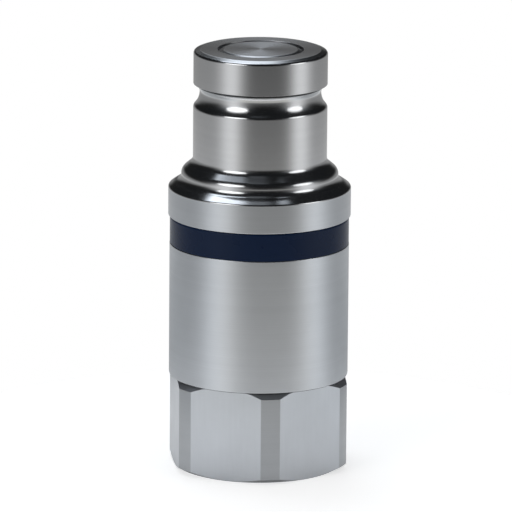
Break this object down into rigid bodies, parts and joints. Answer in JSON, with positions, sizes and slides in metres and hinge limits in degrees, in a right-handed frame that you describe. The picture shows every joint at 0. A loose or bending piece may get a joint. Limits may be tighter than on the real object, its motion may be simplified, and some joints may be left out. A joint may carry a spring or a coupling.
{
  "type": "quick coupling nipple",
  "caption": "Flat-face hydraulic quick coupling nipple: turned steel nose with a ball locking groove and sprung flush poppet, blue marking ring, hexagon adapter with a threaded port.",
  "frame": {"origin": "centre of the port face of the hexagon, the end on which the nipple stands", "axes": "+Z along the axis of the nipple, from the port towards the flat nose; two hexagon corners lie on the Y axis"},
  "size_m": [0.041, 0.0416, 0.0952],
  "materials": {
    "plated_steel": "turned, bright zinc plated",
    "valve_steel": "turned",
    "spring_steel": "drawn wire",
    "blue_plastic": "satin, dark blue",
    "nitrile": "moulded, black"
  },
  "bodies": {
    "housing": {"nose_body": "plated_steel", "hex_adapter": "plated_steel", "body_o_ring": "nitrile", "colour_ring": "blue_plastic", "valve_guide": "valve_steel", "valve_spring": "spring_steel"},
    "poppet": {"poppet_head": "valve_steel", "poppet_seal": "nitrile", "poppet_stem": "valve_steel"}
  },
  "joints": [
    {"name": "poppet_slide", "type": "slide", "parent": "housing", "child": "poppet", "axis": [0, 0, -1], "range_m": [0, 0.01], "stiffness_N_per_m": 6000, "springref_m": -0.004, "deforming": ["valve_spring"]}
  ]
}
